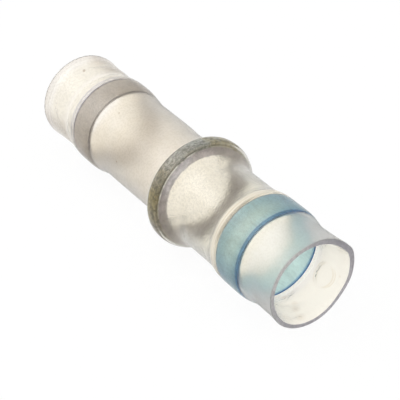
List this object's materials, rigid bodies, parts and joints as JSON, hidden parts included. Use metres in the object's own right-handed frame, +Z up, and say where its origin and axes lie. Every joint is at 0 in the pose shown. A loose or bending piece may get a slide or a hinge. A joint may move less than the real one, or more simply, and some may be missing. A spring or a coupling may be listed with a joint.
{
  "type": "solder seal wire connector",
  "caption": "Translucent heat-shrink sleeve with a solder ring in the middle and a hot-melt sealing ring towards each open end, for splicing two wires.",
  "frame": {"origin": "on the ground, under the middle of the sleeve's length", "axes": "+X along the sleeve towards the blue ring's end, which is pitched up by 2.34 degrees as the part lies, +Z up"},
  "size_m": [0.0282, 0.008, 0.0081],
  "materials": {
    "sleeve_plastic": "frosted translucent heat-shrink tubing, faintly cream",
    "solder": "dull low-melt solder with an olive and purple-grey flux film",
    "clear_hot_melt": "translucent grey hot-melt adhesive",
    "blue_hot_melt": "translucent teal-blue hot-melt adhesive"
  },
  "bodies": {
    "root": {"sleeve": "sleeve_plastic", "solder_ring": "solder", "clear_seal_ring": "clear_hot_melt", "blue_seal_ring": "blue_hot_melt"}
  },
  "joints": []
}
